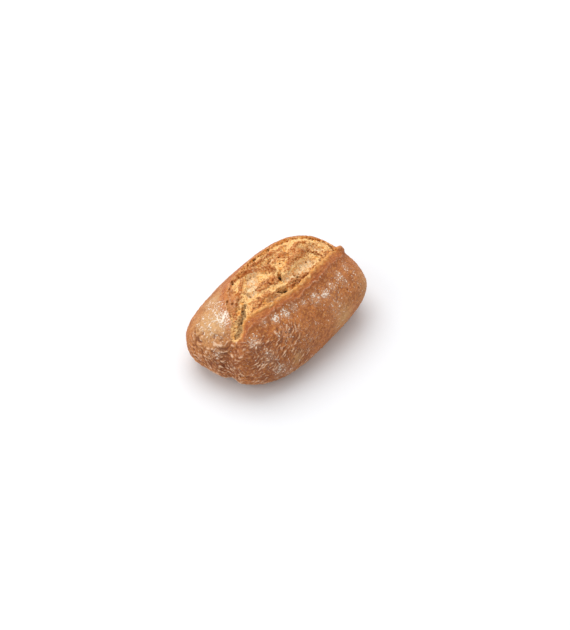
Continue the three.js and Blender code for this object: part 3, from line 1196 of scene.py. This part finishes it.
@dataclass(frozen=True)
class CrustFinish:
    """Baked wholegrain crust: reddish brown, mottled, paler low down, with bran flecks."""

    brown: Colour = linear(179, 103, 52)
    deep: Colour = linear(146, 78, 38)
    gold: Colour = linear(206, 136, 70)
    pale: Colour = linear(206, 158, 102)
    # flour dust on raised skin, partly a painted highlight
    dust_and_highlight: Colour = linear(236, 198, 164)
    # painted shade: the brown laid on the lower flanks and in the seam fold
    painted_shade_brown: Colour = linear(112, 58, 32)
    bran: Colour = linear(92, 50, 30)
    # painted shade: laid into sunken spots and crease bottoms of the crust
    crack: Colour = linear(120, 66, 38)
    band: Colour = linear(166, 88, 46)
    band_light: Colour = linear(198, 124, 66)
    rim: Colour = linear(226, 146, 62)
    blotch_size: float = 6.0
    fibre_size: float = 1.3
    fleck_size: float = 0.9

    def build(self) -> bpy.types.NodeTree:
        """Make the crust group.

        Returns:
            A group with outputs Colour, Roughness and Height in mm.
        """
        bench = NodeBench.for_group("Baked crust", ("Place", *CRUST_MASKS), SURFACE)
        place = bench.given("Place")
        blotch, speck, grain = bench.group(build_mottle(), Place=place, Size=self.blotch_size)
        dark, pale, band, outer, lift, crest, fold, rim = map(bench.given, CRUST_MASKS)
        colour = bench.coat(self.brown, self.deep, blotch, 0.4, 0.64)
        colour = bench.coat(colour, self.gold, speck, 0.5, 0.62, 0.75)
        colour = bench.coat(colour, self.deep, speck, 0.47, 0.36, 0.6)
        colour = bench.coat(colour, self.gold, grain, 0.45, 0.7, 0.5)
        # painted shade on the lower flanks and in the seam fold
        colour = bench.mix(bench.broken(dark, speck, 0.3, 0.6, 0.9, 0.55), colour, self.painted_shade_brown)
        # paler crust low down, and painted light on the lobe top
        colour = bench.mix(bench.broken(pale, speck, 0.3, 0.6, 0.55, 1.0), colour, self.pale)
        fibre = bench.noise(bench.stretched(place, (0.35, 1.3, 1.3)), self.fibre_size)
        banded = bench.coat(self.band, self.band_light, fibre, 0.42, 0.62)
        colour = bench.mix(bench.times(band, 0.8), colour, banded)
        colour = bench.mix(bench.times(outer, 0.55), colour, self.deep)
        flecks = bench.noise(bench.shifted(place, (9.0, 2.0, 41.0)), self.fleck_size,
                             1.0, 0.5, 1.2)
        colour = bench.coat(colour, self.bran, flecks, 0.66, 0.74, 0.7)
        # raised skin paler: flour dust, partly a painted highlight
        colour = bench.coat(colour, self.dust_and_highlight, lift, 0.02, 0.3, 0.35)
        # painted shade in sunken spots
        colour = bench.coat(colour, self.crack, lift, -0.04, -0.4, 0.55)
        # crease crests paler: flour on the ridges, partly a painted highlight
        colour = bench.mix(bench.broken(crest, grain, 0.3, 0.6, 0.315, 0.9), colour, self.dust_and_highlight)
        # painted shade in the crease bottoms
        colour = bench.mix(bench.times(fold, 0.85), colour, self.crack)
        colour = bench.mix(bench.broken(rim, speck, 0.2, 0.6, 0.5, 1.0), colour, self.rim)
        bench.give(Colour=colour, Roughness=bench.ease(blotch, 0.3, 0.7, 0.55, 0.72),
                   Height=bench.plus(bench.times(grain, 0.2), bench.times(speck, 0.4)))
        return bench.tree


@dataclass(frozen=True)
class CrumbFinish:
    """Torn crumb baked in the oven: golden, cream in its pockets, toasted on its peaks."""

    gold: Colour = linear(244, 176, 94)
    bright: Colour = linear(252, 208, 142)
    amber: Colour = linear(208, 120, 54)
    toast: Colour = linear(184, 99, 42)
    cream: Colour = linear(246, 222, 184)
    grey: Colour = linear(212, 180, 140)
    edge: Colour = linear(228, 150, 72)
    shade: Colour = linear(120, 70, 36)
    # painted shade: laid into deep crumb, holes and the tail valley
    dark: Colour = linear(74, 38, 20)
    shred_size: float = 3.0
    crumb_size: float = 1.25
    speck_size: float = 1.1
    fibre_size: float = 1.4
    cloud_size: float = 3.4

    def build(self) -> bpy.types.NodeTree:
        """Make the crumb group.

        Returns:
            A group with outputs Colour, Roughness and Height in mm.
        """
        bench = NodeBench.for_group("Torn crumb", ("Place", *CRUMB_MASKS), SURFACE)
        place = bench.given("Place")
        peak, pocket, hollow, lift, rim = map(bench.given, CRUMB_MASKS)
        blotch, speck, grain = bench.group(build_mottle(), Place=place, Size=self.shred_size)
        crumbs = bench.noise(place, self.crumb_size, 3.0, 0.62, 0.3)
        specks = bench.noise(bench.shifted(place, (5.0, 17.0, 29.0)), self.speck_size,
                             2.0, 0.6, 0.5)
        colour = bench.coat(self.gold, self.bright, blotch, 0.35, 0.51)
        colour = bench.coat(colour, self.amber, crumbs, 0.52, 0.64, 0.55)
        colour = bench.coat(colour, self.shade, specks, 0.4, 0.3, 0.5)
        fibre = bench.noise(bench.stretched(place, (1.5, 0.5, 0.4)), self.fibre_size)
        inner = bench.coat(self.cream, self.grey, bench.noise(place, self.cloud_size, 1.0),
                           0.46, 0.66)
        inner = bench.coat(inner, self.shade, fibre, 0.5, 0.66, 0.4)
        inner = bench.coat(inner, self.gold, crumbs, 0.52, 0.64, 0.7)
        colour = bench.mix(bench.broken(pocket, crumbs, 0.38, 0.6, 0.95, 0.3), colour, inner)
        peak = bench.ease(bench.plus(peak, bench.times(blotch, 0.9)), 0.84, 1.24)
        colour = bench.mix(bench.broken(peak, crumbs, 0.38, 0.6, 0.45, 0.95), colour, self.toast)
        colour = bench.coat(colour, self.toast, lift, 0.35, 0.9, 0.75)
        colour = bench.coat(colour, self.shade, lift, -0.1, -0.55, 0.7)
        colour = bench.mix(bench.broken(rim, crumbs, 0.35, 0.6, 0.85, 0.5), colour, self.edge)
        # painted shade in deep crumb, holes and the tail valley
        bench.give(Colour=bench.mix(hollow, colour, self.dark),
                   Roughness=bench.ease(speck, 0.3, 0.7, 0.7, 0.9),
                   Height=bench.plus(bench.times(crumbs, 1.1), bench.times(grain, 0.2)))
        return bench.tree


@dataclass(frozen=True)
class TableFinish:
    """A plain, pale, matt table."""

    colour: Colour = (0.84, 0.85, 0.87)
    shade: Colour = (0.82, 0.83, 0.85)
    blotch_size: float = 90.0
    roughness: float = 0.9

    def build(self) -> bpy.types.Material:
        """Make the table's material.

        Returns:
            The material.
        """
        material, bench, shader = NodeBench.for_material("table_paint")
        blotch = bench.group(build_mottle(), Place=bench.place_in_mm(), Size=self.blotch_size)[0]
        bench.feed(shader.inputs["Base Color"], bench.mix(blotch, self.colour, self.shade))
        shader.inputs["Roughness"].default_value = self.roughness
        shader.inputs["Specular IOR Level"].default_value = 0.0
        return material


# --------------------------------------------------------------------------- the roll

# the skin's map has one patch for each side of the roll: +x, -x, +y, -y, +z, -z
MAP_AXES = np.array([(1, 2), (1, 2), (0, 2), (0, 2), (0, 1), (1, 0)])
MAP_PATCHES = np.array([  # left, bottom, width, height
    (0.665, 0.01, 0.325, 0.23), (0.665, 0.26, 0.325, 0.23), (0.01, 0.505, 0.64, 0.235),
    (0.01, 0.755, 0.64, 0.235), (0.01, 0.01, 0.64, 0.48), (0.665, 0.505, 0.325, 0.485),
])
MAP_REACH = 1.3
SIDE_WEIGHTS = np.array([1.0, 1.0, 1.12])  # the top and the underside take a little more


@dataclass
class BreadRoll:
    """The whole roll: one fine mesh with one baked, torn and floured finish."""

    cell: float = 0.42
    quick_cell: float = 0.7
    seed: int = 11
    body: PlainBody = field(default_factory=PlainBody)
    slash: Slash = field(default_factory=Slash)
    seam: Seam = field(default_factory=Seam)
    creases: Creases = field(default_factory=Creases)
    crust: CrustFinish = field(default_factory=CrustFinish)
    crumb: CrumbFinish = field(default_factory=CrumbFinish)
    flour: FlourFinish = field(default_factory=FlourFinish)
    rest_blend: tuple[float, float] = (0.2, 1.5)
    lift_rounds: int = 14
    bump_strength: float = 0.8
    gloss: float = 0.25

    def build(self) -> bpy.types.Object:
        """Grow, roughen, mark, unwrap and dress the roll.

        Returns:
            The finished object, resting where the CAD solid rests.
        """
        noise = DoughNoise(self.seed)
        cell = self.cell
        field_of_dough = DoughField(self.body, self.slash, self.seam, noise, cell)
        mesh = FineMesh.from_field(*field_of_dough.grow())
        LOG.info("surface grown: %d points, %d faces", len(mesh.points), len(mesh.quads))
        masks = self._mark(mesh, noise)
        self._roughen(mesh, masks, noise)
        masks["lift"] = self._lift(mesh)
        roll = self._make_object(mesh, masks)
        self._unwrap(roll.data, mesh)
        roll.data.materials.append(self._dress())
        return roll

    def _mark(self, mesh: FineMesh, noise: DoughNoise) -> dict[str, Array]:
        """Work out where each finish shows.

        Args:
            mesh: the surface as grown.
            noise: the dough's noise.

        Returns:
            Shares from 0 to 1 at each point, by name.
        """
        places = mesh.points.astype(np.float32)
        x, y, z = places.T
        plan = places[:, :2]
        body = risen_body(self.body, x, y, z)
        crumb = self.slash.crumb_plan(plan, noise)
        parts = self.slash.section(places, body, self.slash.inward(plan), crumb, noise)
        inside, outer, near, shown = (parts[name] for name in ("inside", "outer", "near", "shown"))
        torn_edge = inside + near * (1.3 + 1.1 * noise.value(places + 66, 3.4))
        opening = smooth(-0.3, 0.7, torn_edge) * shown
        rim = np.exp(-((inside / blend(0.8, 1.6, near)) ** 2)) * shown
        rim *= smooth(-49, -44, x) * (0.3 + 0.7 * near)
        band = blend(smooth(-4.5, -2.5, inside), smooth(-0.9, 0.3, outer), near)
        depth = -body - self.slash.crumb_drop
        # painted shade: deep crumb, holes and the tail valley
        hollow = (smooth(4.6, 7.0, depth) + 0.8 * crumb["hole"] * smooth(1.5, 3.5, depth)
                  + 0.5 * crumb["valley"])
        skin_flap = SKIN_FLAP.share(plan, noise.value(at_height_zero(plan), 3.0))
        return {
            "opening": opening * (1 - 0.95 * skin_flap),
            "rim": np.clip(rim, 0, 1),
            "band": np.clip(band * shown * (1 - opening) * smooth(-50, -44, x), 0, 1),
            "outer": np.exp(-((outer / 0.9) ** 2)) * near * shown,
            "peak": smooth(-0.4, 2.4, parts["level"] + 0.3 * crumb["ridge"]),
            "pocket": crumb["pocket"],
            "hollow": np.clip(hollow, 0, 1),
            "flour": spread(FLOUR_PATCHES, places) * (1 - opening),
            # paler crust low down, and painted light on the lobe top
            "pale": np.clip(spread(PALE_PLACES, places) + 0.4 * smooth(14, 2, z), 0, 1),
            # painted shade on the lower flanks and in the seam fold
            "dark": spread(PAINTED_SHADE_PLACES, places),
        }

    def _roughen(self, mesh: FineMesh, masks: dict[str, Array], noise: DoughNoise) -> None:
        """Crease the skin and roughen the crumb; the resting face stays flat.

        Args:
            mesh: the surface, changed in place.
            masks: where each finish shows; "fold" and "crest" are added.
            noise: the dough's noise.
        """
        places, facing = mesh.points.astype(np.float32), mesh.normals()
        creases, crest, fold = self.creases.height(places, noise)
        shreds = noise.sum(places, ((3, 1.2, 0.55), (9, 0.8, 0.32))) * (1 - 0.5 * masks["pocket"])
        skin = 1 - masks["opening"]
        grip = smooth(*self.rest_blend, places[:, 2])
        height = (skin * creases + masks["opening"] * shreds) * grip
        mesh.points = (places + facing * height[:, None]).astype(np.float32)
        masks.update(fold=fold * skin, crest=crest * skin)

    def _lift(self, mesh: FineMesh) -> Array:
        """How far each point stands out of its surroundings, in mm."""
        soft = mesh.averaged_points(self.lift_rounds)
        return np.einsum("ij,ij->i", mesh.points - soft, mesh.normals())

    def _make_object(self, mesh: FineMesh, masks: dict[str, Array]) -> bpy.types.Object:
        """Turn the mesh into an object that rests where the CAD solid rests.

        Args:
            mesh: the finished surface.
            masks: values to store on its points.

        Returns:
            The object. Its length and width are the CAD's and its height is as it grew.
        """
        low, high = (np.array(corner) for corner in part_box("bread_roll"))
        least, most = mesh.points.min(axis=0), mesh.points.max(axis=0)
        scale = np.append((high - low)[:2] / (most - least)[:2], MM)
        foot = np.append((least + most)[:2] / 2, least[2])
        rest = np.append((low + high)[:2] / 2, low[2])
        points = (mesh.points - foot) * scale + rest
        LOG.info("grown size in mm: %s to %s", points.min(axis=0) / MM, points.max(axis=0) / MM)
        data = bpy.data.meshes.new("bread_roll_loaf")
        data.vertices.add(len(points))
        data.vertices.foreach_set("co", points.astype(np.float32).ravel())
        data.loops.add(mesh.quads.size)
        data.loops.foreach_set("vertex_index", mesh.quads.ravel().astype(np.int32))
        data.polygons.add(len(mesh.quads))
        data.polygons.foreach_set("loop_start", np.arange(0, mesh.quads.size, 4, dtype=np.int32))
        data.update(calc_edges=True)
        data.validate()
        data.shade_smooth()
        for name, values in masks.items():
            layer = data.attributes.new(name, "FLOAT", "POINT")
            layer.data.foreach_set("value", values.astype(np.float32))
        roll = bpy.data.objects.new("bread_roll_loaf", data)
        bpy.context.scene.collection.objects.link(roll)
        return roll

    def _unwrap(self, data: bpy.types.Mesh, mesh: FineMesh) -> None:
        """Lay the skin out flat in six patches, one for each side of the roll.

        Args:
            data: the mesh that gets the map.
            mesh: the same surface in mm.
        """
        half = np.array([self.body.length, self.body.width, self.body.height]) / 2
        centre = np.array([0, 0, self.body.widest_height])
        rays = (mesh.averaged_points(3) - centre) / half
        ray = rays[mesh.quads]
        facing = ray.mean(axis=1)
        axis = np.argmax(np.abs(facing) * SIDE_WEIGHTS, axis=1)
        rows = np.arange(len(axis))
        side = 2 * axis + (facing[rows, axis] < 0)
        depth = np.maximum(np.abs(np.take_along_axis(ray, axis[:, None, None], axis=2)), 1e-6)
        flat = np.take_along_axis(ray, MAP_AXES[side][:, None, :], axis=2) / depth
        spread_out = np.clip(flat, -MAP_REACH, MAP_REACH) / MAP_REACH * 0.5 + 0.5
        patch = MAP_PATCHES[side][:, None, :]
        places = patch[..., :2] + spread_out * patch[..., 2:]
        layer = data.uv_layers.new(name="OFBake")
        layer.uv.foreach_set("vector", places.astype(np.float32).ravel())

    def _dress(self) -> bpy.types.Material:
        """Make the roll's material: crust and crumb side by side, flour over both.

        Returns:
            The material.
        """
        material, bench, shader = NodeBench.for_material("baked_bread")
        place, opening = bench.place_in_mm(), bench.mask("opening")
        crust, crumb = (
            bench.group(finish.build(), Place=place,
                        **{name: bench.mask(name.lower()) for name in names})
            for finish, names in ((self.crust, CRUST_MASKS), (self.crumb, CRUMB_MASKS)))
        flour = bench.group(self.flour.build(), Place=place, Cover=bench.mask("flour"))
        dusting, flour_colour, flour_height = flour
        base = bench.mix(opening, crust[0], crumb[0])
        rough = bench.mix(opening, crust[1], crumb[1], "FLOAT")
        height = bench.mix(opening, crust[2], crumb[2], "FLOAT")
        bump = bench.add("ShaderNodeBump")
        bump.inputs["Distance"].default_value = MM
        bump.inputs["Strength"].default_value = self.bump_strength
        bench.feed(bump.inputs["Height"], bench.plus(height, flour_height))
        bench.feed(shader.inputs["Base Color"], bench.mix(dusting, base, flour_colour))
        bench.feed(shader.inputs["Roughness"],
                   bench.math("MAXIMUM", rough, bench.times(dusting, 0.95)))
        bench.feed(shader.inputs["Normal"], bump.outputs["Normal"])
        shader.inputs["Specular IOR Level"].default_value = self.gloss
        return material


# --------------------------------------------------------------------------- table, light, camera


@dataclass
class Studio:
    """A pale table under soft light, and the camera, in metres and degrees."""

    azimuth: float = -49.1
    elevation: float = 46.0
    lens: float = 100.0
    distance: float = 1.057
    aim_right: float = 0.0045
    aim_up: float = -0.0071
    table_size: float = 6.0
    table_drop: float = 0.0001
    sky: float = 0.68
    key_energy: float = 20.0
    key_size: float = 1.7
    key_from: tuple[float, float, float] = (0.3, 0.62, 1.46)
    side_energy: float = 7.0
    side_size: float = 1.3
    side_from: tuple[float, float, float] = (-1.3, 0.5, 0.95)

    def build(self) -> None:
        """Set up the table, the lights and the camera."""
        self._lay_table()
        self._light("key_light", self.key_from, self.key_size, self.key_energy)
        self._light("side_light", self.side_from, self.side_size, self.side_energy)
        world = bpy.data.worlds.new("studio_air")
        world.use_nodes = True
        background = world.node_tree.nodes["Background"]
        background.inputs["Color"].default_value = (1, 1, 1, 1)
        background.inputs["Strength"].default_value = self.sky
        bpy.context.scene.world = world
        bpy.context.scene.view_settings.view_transform = "Standard"
        self._place_camera()

    def _add(self, name: str, data: bpy.types.ID, at: Vector, facing: Vector) -> bpy.types.Object:
        """Add a light or a camera.

        Args:
            name: the object's name.
            data: the light or camera.
            at: where it stands.
            facing: the way it looks.

        Returns:
            The object.
        """
        thing = bpy.data.objects.new(name, data)
        thing.location = at
        thing.rotation_euler = facing.to_track_quat("-Z", "Y").to_euler()
        bpy.context.scene.collection.objects.link(thing)
        return thing

    def _lay_table(self) -> None:
        """Lay the table just under the roll."""
        half = self.table_size / 2
        corners = [(x * half, y * half, -self.table_drop)
                   for x, y in ((-1, -1), (1, -1), (1, 1), (-1, 1))]
        data = bpy.data.meshes.new("table")
        data.from_pydata(corners, [], [(0, 1, 2, 3)])
        data.materials.append(TableFinish().build())
        table = bpy.data.objects.new("table", data)
        bpy.context.scene.collection.objects.link(table)

    def _light(self, name: str, at: tuple[float, float, float], size: float,
               energy: float) -> None:
        """Hang one square soft light that faces the roll.

        Args:
            name: the light's name.
            at: where it hangs.
            size: its width.
            energy: its strength in watts.
        """
        data = bpy.data.lights.new(name, "AREA")
        data.size, data.energy = size, energy
        self._add(name, data, Vector(at), -Vector(at))

    def _place_camera(self) -> None:
        """Stand the camera where it sees the roll from above its near flank."""
        turn, rise = math.radians(self.azimuth), math.radians(self.elevation)
        flat = math.cos(rise)
        away = Vector((math.sin(turn) * flat, -math.cos(turn) * flat, math.sin(rise)))
        right = Vector((math.cos(turn), math.sin(turn), 0))
        low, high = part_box("bread_roll")
        aim = (low + high) / 2 + right * self.aim_right + away.cross(right) * self.aim_up
        data = bpy.data.cameras.new("camera")
        data.lens, data.clip_start, data.clip_end = self.lens, 0.01, 50
        camera = self._add("camera", data, aim + away * self.distance, -away)
        bpy.context.scene.camera = camera


def main() -> None:
    """Build the roll and its studio."""
    logging.basicConfig(level=logging.INFO, format="%(name)s: %(message)s")
    roll = BreadRoll().build()
    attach(roll, "root")
    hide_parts("bread_roll")
    LOG.info("roll built: %d faces", len(roll.data.polygons))
    Studio().build()
    LOG.info("studio built")


if __name__ == "__main__":
    main()
